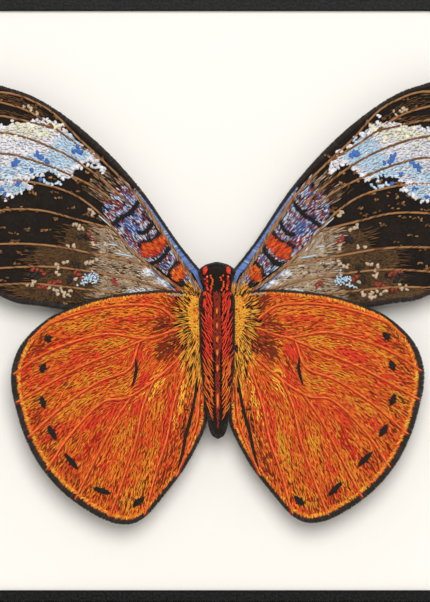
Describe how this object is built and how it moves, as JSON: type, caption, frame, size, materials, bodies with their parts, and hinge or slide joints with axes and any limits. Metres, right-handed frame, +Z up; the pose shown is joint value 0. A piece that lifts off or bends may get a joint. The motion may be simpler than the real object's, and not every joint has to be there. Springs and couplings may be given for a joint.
{
  "type": "framed embroidered butterfly",
  "caption": "Butterfly embroidered in thread on black felt, padded and stitch-edged, floating in front of a cream card in a thin black metal wall frame.",
  "frame": {"origin": "on the wall plane, behind the middle notch of the toothed hanger strip in the top rail", "axes": "+X to the viewer's right along the frame's width, +Z up, -Y out of the wall towards the viewer"},
  "size_m": [0.2494, 0.0336, 0.1985],
  "materials": {
    "black_metal": "fine-textured matt black powder coat on aluminium",
    "zinc_steel": "zinc-plated, dull",
    "spring_steel": "rolled spring steel, satin",
    "cream_card": "matt cream mount board",
    "brown_board": "hardboard, smooth face",
    "white_foam": "closed-cell foam pad with adhesive faces",
    "black_felt": "black wool felt",
    "forewing_embroidery": "cotton and rayon thread, brown, black, white and blue",
    "hindwing_embroidery": "cotton and rayon thread, orange, gold and red"
  },
  "bodies": {
    "root": {"frame_rail_top": "black_metal", "frame_rail_bottom": "black_metal", "frame_rail_left": "black_metal", "frame_rail_right": "black_metal", "corner_bracket_top_left": "zinc_steel", "corner_bracket_top_right": "zinc_steel", "corner_bracket_bottom_left": "zinc_steel", "corner_bracket_bottom_right": "zinc_steel", "bracket_screw_top_left_1": "zinc_steel", "bracket_screw_top_left_2": "zinc_steel", "bracket_screw_top_right_1": "zinc_steel", "bracket_screw_top_right_2": "zinc_steel", "bracket_screw_bottom_left_1": "zinc_steel", "bracket_screw_bottom_left_2": "zinc_steel", "bracket_screw_bottom_right_1": "zinc_steel", "bracket_screw_bottom_right_2": "zinc_steel", "spring_clip_top_1": "spring_steel", "spring_clip_top_2": "spring_steel", "spring_clip_bottom_1": "spring_steel", "spring_clip_bottom_2": "spring_steel", "spring_clip_left": "spring_steel", "spring_clip_right": "spring_steel", "hanger_strip": "zinc_steel", "mount_card": "cream_card", "backing_board": "brown_board", "foam_pad_body": "white_foam", "foam_pad_forewing_left": "white_foam", "foam_pad_forewing_right": "white_foam", "foam_pad_hindwing_left": "white_foam", "foam_pad_hindwing_right": "white_foam", "forewing_left": "forewing_embroidery", "forewing_right": "forewing_embroidery", "hindwing_left": "hindwing_embroidery", "hindwing_right": "hindwing_embroidery", "body": "black_felt"}
  },
  "joints": []
}
